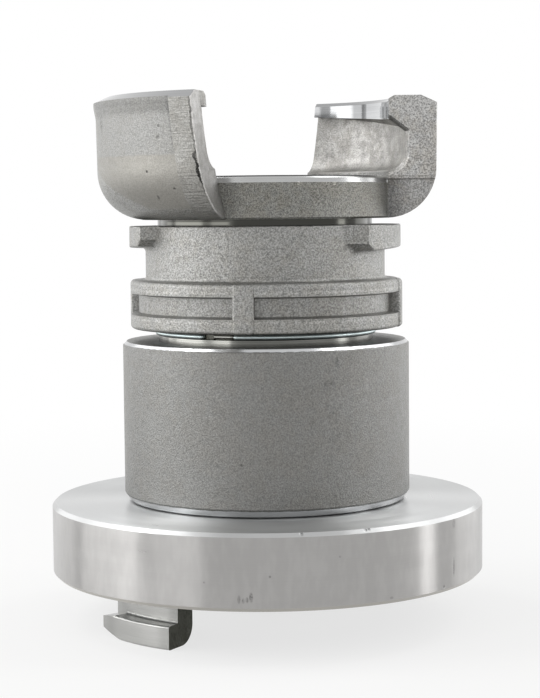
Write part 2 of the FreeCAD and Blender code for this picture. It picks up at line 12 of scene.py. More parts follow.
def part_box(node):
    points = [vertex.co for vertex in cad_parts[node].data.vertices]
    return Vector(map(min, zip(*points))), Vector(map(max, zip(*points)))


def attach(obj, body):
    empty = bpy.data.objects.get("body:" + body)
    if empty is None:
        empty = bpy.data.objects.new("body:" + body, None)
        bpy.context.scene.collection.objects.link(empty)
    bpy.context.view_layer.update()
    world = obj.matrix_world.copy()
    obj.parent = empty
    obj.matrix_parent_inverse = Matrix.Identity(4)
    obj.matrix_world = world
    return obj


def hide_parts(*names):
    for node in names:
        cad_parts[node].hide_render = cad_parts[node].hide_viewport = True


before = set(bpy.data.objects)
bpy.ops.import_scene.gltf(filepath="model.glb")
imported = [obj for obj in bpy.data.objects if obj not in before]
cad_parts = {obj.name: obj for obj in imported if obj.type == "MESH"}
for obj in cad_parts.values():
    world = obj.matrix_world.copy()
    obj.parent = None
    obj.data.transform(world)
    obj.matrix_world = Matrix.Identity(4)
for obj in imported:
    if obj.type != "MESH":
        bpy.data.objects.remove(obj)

log = logging.getLogger("hose_adapter")

MM = 0.001

# The photograph's frame in pixels, and the camera fitted to it
PHOTO_HEIGHT = 698
FOCAL_PX = 1825.2
SENSOR_MM = 36.0
AXIS_LEFT_OF_MIDDLE_PX = 4.0
CAMERA_DISTANCE = 0.4151
CAMERA_HEIGHT = 0.0932
CAMERA_BEARING = -115.5
CAMERA_PITCH = 0.0773
CAMERA_ROLL = 0.0094

# Lamp panels that stand beside the object, in metres
PANEL_DISTANCE = 0.45
PANEL_TALL = 0.6

# Share of a mark's size within which it has its full strength
MARK_CORE = 0.3

# Tool marks run round the axis, so reflections spread across them
ACROSS_THE_TOOL_MARKS = 0.25

Colour = tuple[float, float, float]
Number = Union[float, int, "Level"]
Paint = Union[Colour, bpy.types.NodeSocket]
Span = tuple[float, float]


def around(bearing: float, distance: float, height: float) -> Vector:
    """A point round the object, for what stands about it.

    Args:
        bearing: degrees to the right of the side that faces the camera.
        distance: from the axis, in metres.
        height: above the floor, in metres.

    Returns:
        The point in the part's frame.
    """
    angle = math.radians(CAMERA_BEARING + bearing)
    return Vector((distance * math.cos(angle), distance * math.sin(angle), height))


class Operation(Enum):
    """What a Math node works out."""

    ADD = "ADD"
    MULTIPLY = "MULTIPLY"
    SUBTRACT = "SUBTRACT"
    DIVIDE = "DIVIDE"
    POWER = "POWER"
    ABSOLUTE = "ABSOLUTE"
    SIGN = "SIGN"
    FOLD = "PINGPONG"
    ANGLE = "ARCTAN2"
    LOWER = "MINIMUM"
    HIGHER = "MAXIMUM"


class Level:
    """A value in a node tree, on which plain arithmetic adds Math nodes."""

    def __init__(self, tree: "Tree", socket: bpy.types.NodeSocket) -> None:
        """Args: tree: where nodes are added. socket: the output that holds the value."""
        self.tree = tree
        self.socket = socket

    def _math(self, operation: Operation, *values: Number) -> "Level":
        """One Math node on some values."""
        node = self.tree.node("ShaderNodeMath", {"operation": operation.value}, dict(enumerate(values)))
        return Level(self.tree, node.outputs[0])

    def __add__(self, other: Number) -> "Level":
        """Sum."""
        return self._math(Operation.ADD, self, other)

    __radd__ = __add__

    def __mul__(self, other: Number) -> "Level":
        """Product."""
        return self._math(Operation.MULTIPLY, self, other)

    __rmul__ = __mul__

    def __sub__(self, other: Number) -> "Level":
        """Difference."""
        return self._math(Operation.SUBTRACT, self, other)

    def __rsub__(self, other: Number) -> "Level":
        """Difference from a plain number."""
        return self._math(Operation.SUBTRACT, other, self)

    def __truediv__(self, other: Number) -> "Level":
        """Quotient."""
        return self._math(Operation.DIVIDE, self, other)

    def __pow__(self, other: Number) -> "Level":
        """Power."""
        return self._math(Operation.POWER, self, other)

    def __abs__(self) -> "Level":
        """Size without its sign."""
        return self._math(Operation.ABSOLUTE, self)

    def sign(self) -> "Level":
        """-1 or 1, by the value's sign."""
        return self._math(Operation.SIGN, self)

    def fold(self, period: float) -> "Level":
        """Distance to the nearest multiple of a period."""
        return self._math(Operation.FOLD, self, period / 2)

    def angle_from(self, other: "Level") -> "Level":
        """Plan angle in radians of the point (other, self)."""
        return self._math(Operation.ANGLE, self, other)

    def at_most(self, other: Number) -> "Level":
        """The lower of two values."""
        return self._math(Operation.LOWER, self, other)

    def at_least(self, other: Number) -> "Level":
        """The higher of two values."""
        return self._math(Operation.HIGHER, self, other)

    def rise(self, start: float, stop: float) -> "Level":
        """Smooth step that is 0 before start and 1 after stop.

        Args:
            start: value at which the step begins.
            stop: value at which it ends; it may be the lower one.

        Returns:
            The step as a new value from 0 to 1.
        """
        settings = {"interpolation_type": "SMOOTHSTEP"}
        low, high = sorted((start, stop))
        ends = (0.0, 1.0) if start < stop else (1.0, 0.0)
        values = {0: self, 1: low, 2: high, 3: ends[0], 4: ends[1]}
        node = self.tree.node("ShaderNodeMapRange", settings, values)
        return Level(self.tree, node.outputs[0])

    def band(self, low: float, high: float, soft: float) -> "Level":
        """1 between two values, with soft edges."""
        return self.rise(low - soft, low + soft) * self.rise(high + soft, high - soft)


class Tree:
    """Makes the nodes of one material, world or modifier."""

    def __init__(self, tree: bpy.types.NodeTree) -> None:
        """Args: tree: the node tree, which is emptied first."""
        tree.nodes.clear()
        self.tree = tree

    def node(self, kind: str, settings: dict | None = None, values: dict | None = None) -> bpy.types.Node:
        """Adds a node.

        Args:
            kind: the node's type.
            settings: its properties, set first.
            values: what goes into its sockets by name or number: a link or a value.

        Returns:
            The node.
        """
        made = self.tree.nodes.new(kind)
        for name, value in (settings or {}).items():
            setattr(made, name, value)
        for name, value in (values or {}).items():
            socket = made.inputs[name]
            if isinstance(value, Level):
                value = value.socket
            if isinstance(value, bpy.types.NodeSocket):
                self.tree.links.new(value, socket)
            else:
                socket.default_value = value
        return made

    def place(self) -> "Place":
        """Where a shaded point is on the object.

        Returns:
            The point in millimetres.
        """
        vector = self.node("ShaderNodeTexCoord").outputs["Object"]
        parts = self.node("ShaderNodeSeparateXYZ", None, {0: vector})
        x, y, z = (Level(self, socket) * (1.0 / MM) for socket in parts.outputs)
        return Place(self, x, y, z)

    def normal(self) -> list[Level]:
        """The surface's normal as three values."""
        normal = self.node("ShaderNodeNewGeometry").outputs["Normal"]
        return [Level(self, part) for part in self.node("ShaderNodeSeparateXYZ", None, {0: normal}).outputs]

    def seen(self) -> Level:
        """Which rays meet the white background.

        Returns:
            1 for rays from the camera, also through glass and by way of metal, and 0 for the rest.
        """
        rays = self.node("ShaderNodeLightPath").outputs
        direct = Level(self, rays["Is Camera Ray"]).at_least(Level(self, rays["Is Transmission Ray"]))
        return direct.at_least(Level(self, rays["Is Glossy Ray"]))

    def noise(
        self, vector: bpy.types.NodeSocket, scale: float, detail: float = 2.0, rough: float = 0.5
    ) -> Level:
        """Fractal noise from 0 to 1 about a middle of 0.5.

        Args:
            vector: where to read it, in millimetres.
            scale: waves per millimetre.
            detail: octaves above the first.
            rough: strength of each octave against the one before.

        Returns:
            The noise.
        """
        values = {"Vector": vector, "Scale": scale, "Detail": detail, "Roughness": rough}
        return Level(self, self.node("ShaderNodeTexNoise", {"normalize": True}, values).outputs["Fac"])

    def mix(self, factor: Number, first: Paint, second: Paint) -> bpy.types.NodeSocket:
        """Blend of two colours.

        Args:
            factor: 0 for the first, 1 for the second.
            first: a colour or a link.
            second: a colour or a link.

        Returns:
            The blended colour.
        """
        colours = [(*c, 1.0) if isinstance(c, tuple) else c for c in (first, second)]
        values = {0: factor, 6: colours[0], 7: colours[1]}
        return self.node("ShaderNodeMix", {"data_type": "RGBA"}, values).outputs[2]

    def tint(self, paint: Paint, factor: Level) -> bpy.types.NodeSocket:
        """A colour made lighter or darker by a factor."""
        grey = self.node("ShaderNodeCombineXYZ", None, {0: factor, 1: factor, 2: factor}).outputs[0]
        return self.node("ShaderNodeVectorMath", {"operation": "MULTIPLY"}, {0: paint, 1: grey}).outputs[0]

    def bump(self, height: Level) -> bpy.types.NodeSocket:
        """Normal bent by a height in millimetres."""
        values = {"Height": height, "Strength": 1.0, "Distance": MM}
        return self.node("ShaderNodeBump", None, values).outputs[0]


@dataclass
class Place:
    """A shaded point: plan coordinates and height in millimetres."""

    tree: Tree
    x: Level
    y: Level
    z: Level

    def radius(self) -> Level:
        """Distance from the axis."""
        return (self.x * self.x + self.y * self.y) ** 0.5

    def turn(self) -> Level:
        """Angle about the axis in degrees."""
        return self.y.angle_from(self.x) * (180.0 / math.pi)

    def vector(self, x: Number, y: Number, z: Number) -> bpy.types.NodeSocket:
        """Three values as one vector."""
        return self.tree.node("ShaderNodeCombineXYZ", None, {0: x, 1: y, 2: z}).outputs[0]

    def point(self) -> bpy.types.NodeSocket:
        """The point itself as a vector."""
        return self.vector(self.x, self.y, self.z)

    def paired(self) -> "Place":
        """The same point on the half of the object about +X, for what comes twice."""
        side = self.x.sign()
        return Place(self.tree, self.x * side, self.y * side, self.z)

    def across(self, direction: float) -> Level:
        """Signed distance from the axis to an upright plane that runs in a plan direction."""
        angle = math.radians(direction)
        return self.y * math.cos(angle) - self.x * math.sin(angle)

    def outward(self) -> Level:
        """How far the surface faces away from the axis, from -1 to 1."""
        normal = self.tree.normal()
        return (normal[0] * self.x + normal[1] * self.y) / self.radius()


@dataclass
class Skin:
    """What a finish gives the shader at each point."""

    tree: Tree
    colour: Paint
    roughness: Number
    relief: Level

    def under(self, other: "Skin", mask: Level) -> "Skin":
        """Another skin laid over this one.

        Args:
            other: the skin on top.
            mask: where it shows, from 0 to 1.

        Returns:
            This skin where the mask is 0 and the other where it is 1.
        """
        return Skin(
            self.tree,
            self.tree.mix(mask, self.colour, other.colour),
            mask * other.roughness + (1.0 - mask) * self.roughness,
            mask * other.relief + (1.0 - mask) * self.relief,
        )

    def shaded(self, factor: Level) -> "Skin":
        """This skin with its colour made lighter or darker."""
        return Skin(self.tree, self.tree.tint(self.colour, factor), self.roughness, self.relief)


@dataclass(frozen=True)
class Blasted:
    """Shot-blasted cast metal: fine bright and dark grain, a warm tarnish, few pits."""

    tone: Colour = (0.271, 0.271, 0.262)
    tarnish: Colour = (0.225, 0.217, 0.197)
    roughness: float = 0.44
    grain_mm: float = 0.36
    grain_depth: float = 0.035
    contrast: float = 0.9
    tarnish_share: float = 0.5

    def skin(self, place: Place) -> Skin:
        """The finish at a place.

        Args:
            place: the shaded point.

        Returns:
            Its colour, roughness and relief.
        """
        tree = place.tree
        point = place.point()
        grain = tree.noise(point, 1.0 / self.grain_mm, 3.0, 0.75).rise(0.32, 0.68)
        cloud = tree.noise(point, 0.12, 3.0, 0.6)
        fleck = tree.noise(point, 0.6, 1.0)
        share = (cloud * 0.6 + fleck * 0.4).rise(0.4, 0.62) * self.tarnish_share
        light = 1.0 + (grain - 0.5) * self.contrast + (fleck - 0.5) * (self.contrast * 0.3)
        colour = tree.tint(tree.mix(share, self.tone, self.tarnish), light)
        relief = grain * self.grain_depth + fleck * (self.grain_depth * 1.5)
        return Skin(tree, colour, self.roughness + (fleck - 0.5) * 0.2, relief)


@dataclass(frozen=True)
class Turned:
    """Metal from the lathe: tool marks that run round the axis."""

    tone: Colour = (0.45, 0.453, 0.45)
    roughness: float = 0.25
    pitch: float = 0.35
    mark_depth: float = 0.004
    streak: float = 0.1

    def skin(self, place: Place) -> Skin:
        """The finish at a place.

        Args:
            place: the shaded point.

        Returns:
            Its colour, roughness and relief.
        """
        tree = place.tree
        along = place.radius() + place.z
        lines = tree.noise(place.vector(along, 0.0, 0.0), 1.0 / self.pitch, 2.0, 0.7)
        patches = tree.noise(place.vector(place.turn() * 0.05, along * 0.6, 0.0), 0.5, 2.0, 0.6)
        light = 1.0 + (lines - 0.5) * self.streak + (patches - 0.5) * self.streak
        roughness = self.roughness * (0.8 + patches * 0.4)
        return Skin(tree, tree.tint(self.tone, light), roughness, lines * self.mark_depth)


@dataclass(frozen=True)
class Mark:
    """A pit, nick, stain or glint on an outer surface.

    Its turn is in degrees; its height, size and depth are in millimetres. It is dark by a
    share, or bright if that is below 0, and tall times as high as it is wide.
    """

    turn: float
    height: float
    size: float
    dark: float = 0.6
    deep: float = 0.0
    tall: float = 1.0


def marked(skin: Skin, place: Place, marks: Sequence[Mark], inside: float) -> Skin:
    """A skin with marks on it, broken up by noise.

    Args:
        skin: the surface without marks.
        place: the shaded point.
        marks: what is on it.
        inside: radius in millimetres within which nothing is marked.

    Returns:
        The darker and dented skin.
    """
    tree, radius, turn = skin.tree, place.radius(), place.turn()
    ragged = 1.0 - tree.noise(place.point(), 1.8, 2.0).rise(0.6, 0.4) * 0.5
    ragged = ragged * radius.rise(inside, inside + 0.1)
    arc = radius * (math.pi / 180.0)
    light, relief = 1.0, skin.relief
    for mark in marks:
        sideways = (turn - mark.turn) * arc
        upwards = (place.z - mark.height) * (1.0 / mark.tall)
        away = sideways * sideways + upwards * upwards
        mask = away.rise(mark.size ** 2, (mark.size * MARK_CORE) ** 2) * ragged
        light = (1.0 - mask * mark.dark) * light
        if mark.deep:
            relief = relief - mask * mark.deep
    return Skin(tree, tree.tint(skin.colour, light), skin.roughness, relief)


class Finish(ABC):
    """A material made in nodes."""

    name: str
    metallic: float = 1.0
    anisotropic: float = 0.0

    @abstractmethod
    def skin(self, place: Place) -> Skin:
        """The finish at a place.

        Args:
            place: the shaded point.

        Returns:
            Its colour, roughness and relief.
        """

    def make(self) -> bpy.types.Material:
        """Builds the material.

        Returns:
            The material, with its varying values in colour, roughness and normal only.
        """
        made = bpy.data.materials.new(self.name)
        made.use_nodes = True
        tree = Tree(made.node_tree)
        skin = self.skin(tree.place())
        colour = (*skin.colour, 1.0) if isinstance(skin.colour, tuple) else skin.colour
        values = {"Base Color": colour, "Roughness": skin.roughness, "Normal": tree.bump(skin.relief)}
        values |= {"Metallic": self.metallic, "Anisotropic": self.anisotropic}
        values["Anisotropic Rotation"] = ACROSS_THE_TOOL_MARKS
        shader = tree.node("ShaderNodeBsdfPrincipled", None, values)
        tree.node("ShaderNodeOutputMaterial", None, {"Surface": shader.outputs[0]})
        return made


@dataclass(frozen=True)
class ClawCasting(Finish):
    """Blasted claw head with its turned neck, rim, lip and horn tops.

    The slanted end face leans by far_lean a millimetre of height, and is curved by
    far_curve. The crease on a horn's foot falls with the angle from the horn's middle.
    A span is where an edge begins and where it ends, in millimetres or degrees.
    """

    name: str = "claw_aluminium"
    cast: Blasted = Blasted()
    panel: Blasted = Blasted(
        tone=(0.24, 0.24, 0.232), grain_mm=0.34, grain_depth=0.04, contrast=0.5, tarnish_share=0.25
    )
    foot: Blasted = Blasted(
        tone=(0.238, 0.232, 0.213), grain_mm=0.3, grain_depth=0.02, contrast=0.3, roughness=0.45
    )
    band: Blasted = Blasted(tone=(0.301, 0.298, 0.283), contrast=0.5, grain_mm=0.34)
    flange: Blasted = Blasted(
        tone=(0.202, 0.202, 0.189), tarnish=(0.182, 0.176, 0.156), grain_mm=0.3, contrast=1.0,
        tarnish_share=0.8,
    )
    recess: Blasted = Blasted(
        tone=(0.37, 0.364, 0.35), grain_mm=0.32, grain_depth=0.03, contrast=0.5, roughness=0.46
    )
    near: Blasted = Blasted(
        tone=(0.424, 0.421, 0.413), tarnish=(0.336, 0.316, 0.281), roughness=0.58, contrast=1.0
    )
    sawn: Blasted = Blasted(
        tone=(0.462, 0.455, 0.446), grain_mm=0.3, grain_depth=0.02, contrast=0.35, roughness=0.42
    )
    turned: Turned = Turned(roughness=0.24, streak=0.35)
    # Nearly black tone: painted shade on the neck where it shows between the flange and the ring.
    upper_neck: Turned = Turned(tone=(0.048, 0.048, 0.043), roughness=0.14, streak=0.3, mark_depth=0.003)
    neck: Turned = Turned(
        tone=(0.15, 0.15, 0.14), roughness=0.2, pitch=0.5, streak=1.2, mark_depth=0.015
    )
    mirror: Turned = Turned(tone=(0.315, 0.319, 0.323), roughness=0.08, mark_depth=0.001, streak=0.4)
    outside_r: float = 27.9
    neck_r: float = 24.6
    upper_neck_z: Span = (75.0, 76.0)
    tail_r: Span = (21.0, 21.5)
    bore_r: Span = (25.45, 25.3)
    flange_z: float = 90.8
    flange_r: Span = (28.15, 28.3)
    rim_z: float = 98.55
    rim_top_z: float = 100.0
    rim_r: float = 28.15
    step_z: float = 99.5
    step_edge: float = 0.4
    foot_z: float = 104.5
    foot_edge: float = 0.3
    top_z: float = 116.35
    lip_r: float = 28.5
    lip_z: Span = (110.0, 110.4)
    lip_dark_reflection: Span = (8.5, 17.0)
    near_skew: float = -26.0
    near_offset: float = -6.05
    near_inner_r: Span = (33.5, 28.5)
    far_skew: float = 48.6
    far_middle: float = -3.3
    far_lean: float = 0.1618
    far_curve: float = 0.00324
    wall_r: Span = (33.0, 34.0)
    band_width: float = 5.2
    band_foot_z: Span = (97.0, 96.0)
    band_shade_z: Span = (103.0, 99.0)
    score_depth: float = 0.1
    rim_foot_z: float = 114.8
    rim_shade: float = 0.16
    crack_r: Span = (35.5, 36.5)
    crack_foot_z: Span = (94.0, 98.0)
    crack_wide_z: Span = (98.5, 103.5)
    crack_widest_z: Span = (103.4, 104.8)
    crack_dark_z: Span = (98.0, 104.5)
    crack_depth: float = 0.4
    recess_r: Span = (32.6, 32.4)
    recess_z: Span = (101.0, 101.4)
    # Turns and height of the painted highlights on the turned neck.
    highlight_turns: tuple[Span, ...] = ((-178.0, -134.0), (-77.0, -67.0))
    highlight_z: Span = (89.55, 90.2)
    highlight_gain: float = 1.4
    middle_z: float = 104.3
    crease_z: float = 97.7
    crease_fall: float = 0.26
    crease_edge: float = 0.4
    root_turns: Span = (-14.0, -17.0)
    marks: tuple[Mark, ...] = (
        Mark(-151.4, 110.5, 0.4, 0.6, 0.12),
        Mark(-151.8, 108.0, 0.6, 0.3, 0.08),
        Mark(-156.8, 101.0, 0.35, 0.7, 0.12),
        Mark(-146.4, 97.3, 0.4, 0.7, 0.12),
        Mark(-154.4, 95.5, 0.35, 0.6, 0.1, 1.6),
        Mark(173.9, 112.0, 1.6, 0.28, 0.0, 1.6),
        # The last three are painted glints: painted highlights on burrs along the rim's lower edge.
        Mark(-100.6, 98.3, 0.5, -0.8),
        Mark(-87.2, 98.2, 0.4, -0.9),
        Mark(-83.3, 98.2, 0.45, -0.9),
    )

    def _past_far_edge(self, pair: Place) -> Level:
        """Where a point is against a horn's slanted end face.

        Args:
            pair: the point on the half of the head about +X.

        Returns:
            The distance past the face, below 0 on the horn's side of it.
        """
        height = pair.z - self.middle_z
        lean = height * self.far_lean - height * height * self.far_curve
        return pair.across(self.far_skew) + lean - self.far_middle

    def _panel(self, place: Place, ragged: Level, edge: Level) -> Skin:
        """The sunk panel over its smooth foot and the horn's rough root, with painted shade under and on
        the rim and a painted shadow line beside the band.

        Args:
            place: the shaded point.
            ragged: noise from -1 to 1 that frays the edges.
            edge: distance past the edge of the scored band.

        Returns:
            The finish of the horn's outside.
        """
        turn = place.paired().turn()
        crease = place.z - self.crease_z + turn * self.crease_fall
        within = place.radius().rise(*self.wall_r[::-1])
        rough = crease.rise(self.crease_edge, -self.crease_edge)
        rough = rough.at_least(turn.rise(*self.root_turns)).at_least(within)
        low = (place.z + ragged * 0.4).rise(self.foot_z + self.foot_edge, self.foot_z - self.foot_edge)
        # Painted shade under the rim's overhang, and a painted shadow line beside the raised band.
        rim_overhang_shade = place.z.band(self.rim_foot_z - 1.6, self.rim_foot_z, 0.9) * (ragged * 0.3 + 0.9)
        band_edge_shadow = edge.band(-0.9, -0.2, 0.3) * place.z.rise(self.foot_z, self.foot_z + 3.0)
        shade = 1.0 - rim_overhang_shade * self.rim_shade - band_edge_shadow * 0.22
        skin = self.panel.skin(place).shaded(shade).under(self.foot.skin(place), low)
        # Painted shade that darkens the rim's outer band.
        on_rim = place.z.rise(self.rim_foot_z, self.rim_foot_z + 0.5)
        return skin.shaded(1.0 - on_rim * self.rim_shade).under(self.cast.skin(place), rough)

    def _scored_band(self, place: Place) -> Skin:
        """The band beside the slanted end face, scored along its length, with painted shade towards its
        foot.

        Args:
            place: the shaded point.

        Returns:
            The band's finish.
        """
        along = place.vector(place.paired().turn() * 0.12, place.z * 2.4, 0.0)
        scores = place.tree.noise(along, 1.0, 3.0, 0.7).rise(0.3, 0.7)
        # Painted shade darkens the band towards its foot, where it wraps under; the scores are its own
        # texture.
        shade = 0.93 + scores * 0.14 - place.z.rise(*self.band_shade_z) * 0.16
        band = self.band.skin(place).shaded(shade)
        band.relief = band.relief + scores * self.score_depth
        return band

    def _cracked(self, skin: Skin, place: Place, past: Level) -> Skin:
        """A skin with the torn edge that runs down the slanted end face.

        Args:
            skin: the surface without it.
            place: the shaded point.
            past: distance past the end face.

        Returns:
            The skin, darker and deeper along the tear.
        """
        torn = past + (place.tree.noise(place.point(), 0.9, 3.0, 0.7) - 0.5) * 1.3
        wide = place.z.band(*self.crack_wide_z, 1.0) * 0.4
        width = wide + place.z.band(*self.crack_widest_z, 0.6) * 0.65 + 0.12
        crack = (torn + width).rise(-0.3, -0.2) * torn.rise(-0.2, -0.3)
        crack = crack * place.radius().rise(*self.crack_r) * place.z.rise(*self.crack_foot_z)
        crack = crack * place.z.rise(self.top_z, self.top_z - 1.0)
        skin.relief = skin.relief - crack * self.crack_depth
        return skin.shaded(1.0 - crack * (place.z.band(*self.crack_dark_z, 2.0) * 0.42 + 0.45))

    def _near_end(self, place: Place) -> Skin:
        """The horn's other end face, with painted shade below its step, deepest near the flange, and a
        painted shadow line at the step.

        Args:
            place: the shaded point.

        Returns:
            The end face's finish.
        """
        # Painted shade on the face below its step, deepest near the flange, and a painted shadow line at
        # the step.
        below = place.z.rise(self.step_z + self.step_edge, self.step_z - self.step_edge)
        inner = place.radius().rise(*self.near_inner_r)
        step_shadow = place.z.band(self.step_z + 0.3, self.step_z + 0.6, 0.15)
        return self.near.skin(place).shaded(1.0 - below * 0.2 - below * inner * 0.3 - step_shadow * 0.25)

    def _horn(self, place: Place) -> Skin:
        """A whole horn: outside, scored band, recess and the two end faces.

        Args:
            place: the shaded point.

        Returns:
            The horn's finish.
        """
        tree, radius, pair = place.tree, place.radius(), place.paired()
        past = self._past_far_edge(pair)
        ragged = (tree.noise(place.point(), 0.3, 2.0) - 0.5) * 2.0
        edge = past + (ragged * 0.15) + self.band_width
        skin = self._panel(place, ragged, edge)
        outside = radius.rise(*self.wall_r).at_least(place.z.rise(*self.band_foot_z))
        skin = skin.under(self._scored_band(place), edge.rise(-0.2, 0.2) * outside)
        skin = skin.under(self.sawn.skin(place), past.rise(-0.25, -0.1))
        skin = self._cracked(skin, place, past)
        recess = radius.rise(*self.recess_r) * place.z.rise(*self.recess_z)
        stains = tree.noise(place.point(), 0.35, 2.0, 0.6).rise(0.35, 0.65)
        skin = skin.under(self.recess.skin(place).shaded(0.86 + stains * 0.28), recess)
        near = pair.across(self.near_skew).rise(self.near_offset + 0.5, self.near_offset + 0.4)
        return skin.under(self._near_end(place), near)

    def _neck(self, place: Place) -> Skin:
        """The turned neck, with painted highlights in two places round it and painted shade where it shows
        between the flange and the ring.

        Args:
            place: the shaded point.

        Returns:
            The neck's finish.
        """
        # Painted highlights: bright streaks on the neck at two places round it, and a thin line just under
        # the flange.
        highlights = [place.turn().band(*ends, 1.5) for ends in self.highlight_turns]
        gloss = highlights[0] + highlights[1] * 0.15
        line = gloss * place.z.band(*self.highlight_z, 0.1)
        upper = self.upper_neck.skin(place).shaded(1.0 + line * self.highlight_gain)
        neck = self.neck.skin(place).shaded(1.0 + gloss * self.highlight_gain)
        return neck.under(upper, place.z.rise(*self.upper_neck_z))

    def skin(self, place: Place) -> Skin:
        """The finish at a place.

        Args:
            place: the shaded point.

        Returns:
            Its colour, roughness and relief.
        """
        radius = place.radius()
        skin = self.flange.skin(place).under(self._horn(place), radius.rise(*self.flange_r))
        below = place.z.rise(self.flange_z + 0.1, self.flange_z)
        inner = radius.rise(self.neck_r + 0.1, self.neck_r) * below
        rim = place.z.band(self.rim_z, self.rim_top_z, 0.06) * radius.rise(self.rim_r + 0.05, self.rim_r)
        skin = skin.under(self.turned.skin(place), rim.at_least(radius.rise(*self.bore_r)))
        skin = skin.under(self._neck(place), inner * radius.rise(*self.tail_r))
        level = abs(place.tree.normal()[2]).rise(0.2, 0.35)
        top = place.z.rise(self.top_z - 0.25, self.top_z) * level
        lip = radius.rise(self.lip_r + 0.05, self.lip_r) * place.z.rise(*self.lip_z)
        # Painted reflection: a dark band on the lip's mirror face over these turns.
        shade = place.turn().band(*self.lip_dark_reflection, 1.5) * lip
        skin = skin.under(self.mirror.skin(place).shaded(1.0 - shade * 0.45), top.at_least(lip))
        return marked(skin, place, self.marks, self.outside_r)


@dataclass(frozen=True)
class RingCasting(Finish):
    """Blasted locking ring, worn bright along its ribs and rims, with painted shade in its pockets, turned
    inside.
    """

    name: str = "ring_aluminium"
    cast: Blasted = Blasted()
    turned: Turned = Turned(roughness=0.22)
    bore_r: float = 24.5
    rib_turn: float = -34.5
    rib_pitch: float = 90.0
    rib_half: float = 4.4
    rib_edge: float = 0.25
    rib_r: Span = (30.2, 30.8)
    lower_rim_z: Span = (68.6, 69.0)
    upper_rim_z: Span = (74.9, 75.4)
    rim_r: Span = (30.2, 30.5)
    band_z: Span = (69.2, 74.7)
    pocket_r: Span = (30.0, 29.0)
    pocket_floor_r: Span = (28.2, 28.5)

    def skin(self, place: Place) -> Skin:
        """The finish at a place.

        Args:
            place: the shaded point.

        Returns:
            Its colour, roughness and relief.
        """
        tree = place.tree
        radius = place.radius()
        skin = self.cast.skin(place)
        off_rib = (place.turn() - self.rib_turn + 360.0).fold(self.rib_pitch)
        rib_edge = off_rib.band(self.rib_half - self.rib_edge, self.rib_half + self.rib_edge, 0.3)
        worn = tree.noise(place.point(), 0.9, 2.0).rise(0.35, 0.65)
        rims = place.z.band(*self.upper_rim_z, 0.15).at_least(place.z.band(*self.lower_rim_z, 0.15))
        wear = (rib_edge * radius.rise(*self.rib_r)).at_least(rims * radius.rise(*self.rim_r)) * worn
        # Painted shade in the pockets between the ribs; the brighter ribs and rims are wear.
        wall = radius.rise(*self.pocket_r) * radius.rise(*self.pocket_floor_r)
        pocket = place.z.band(*self.band_z, 0.3) * wall
        skin = skin.shaded(1.0 + wear * 0.35 - pocket * 0.08)
        return skin.under(self.turned.skin(place), radius.rise(self.bore_r + 0.1, self.bore_r))


@dataclass(frozen=True)
class SleeveSatin(Finish):
    """Dull tumbled tube with bright turned bevels."""

    name: str = "sleeve_aluminium"
    body: Blasted = Blasted(
        tone=(0.202, 0.202, 0.195),
        tarnish=(0.186, 0.18, 0.167),
        roughness=0.4,
        grain_mm=0.32,
        grain_depth=0.03,
        contrast=0.55,
    )
    bevels: Turned = Turned(tone=(0.518, 0.525, 0.532), roughness=0.18, streak=0.35)
    foot_z: float = 28.95
    top_z: float = 62.75
    top_face_r: float = 31.65
    outside_r: float = 32.0
    marks: tuple[Mark, ...] = (
        Mark(-92.2, 55.6, 1.0, 0.35, 0.05, 0.6),
        Mark(-90.2, 55.9, 0.7, 0.3, 0.05),
        Mark(-89.5, 49.5, 0.4, 0.4),
        Mark(-88.0, 60.5, 0.5, 0.25, 0.0, 3.0),
        Mark(-91.0, 44.0, 0.35, 0.35),
        Mark(-124.9, 38.8, 0.4, 0.5, 0.1),
        Mark(-89.0, 31.5, 0.6, 0.35),
    )

    def skin(self, place: Place) -> Skin:
        """The finish at a place.

        Args:
            place: the shaded point.

        Returns:
            Its colour, roughness and relief.
        """
        tree = place.tree
        ragged = (tree.noise(place.point(), 0.7) - 0.5) * 0.35
        low = (place.z + ragged).rise(self.foot_z, self.foot_z - 0.1)
        high = (place.z + ragged).rise(self.top_z, self.top_z + 0.1)
        high = high * (place.radius() + ragged).rise(self.top_face_r - 0.1, self.top_face_r)
        skin = self.body.skin(place).under(self.bevels.skin(place), low.at_least(high))
        return marked(skin, place, self.marks, self.outside_r)


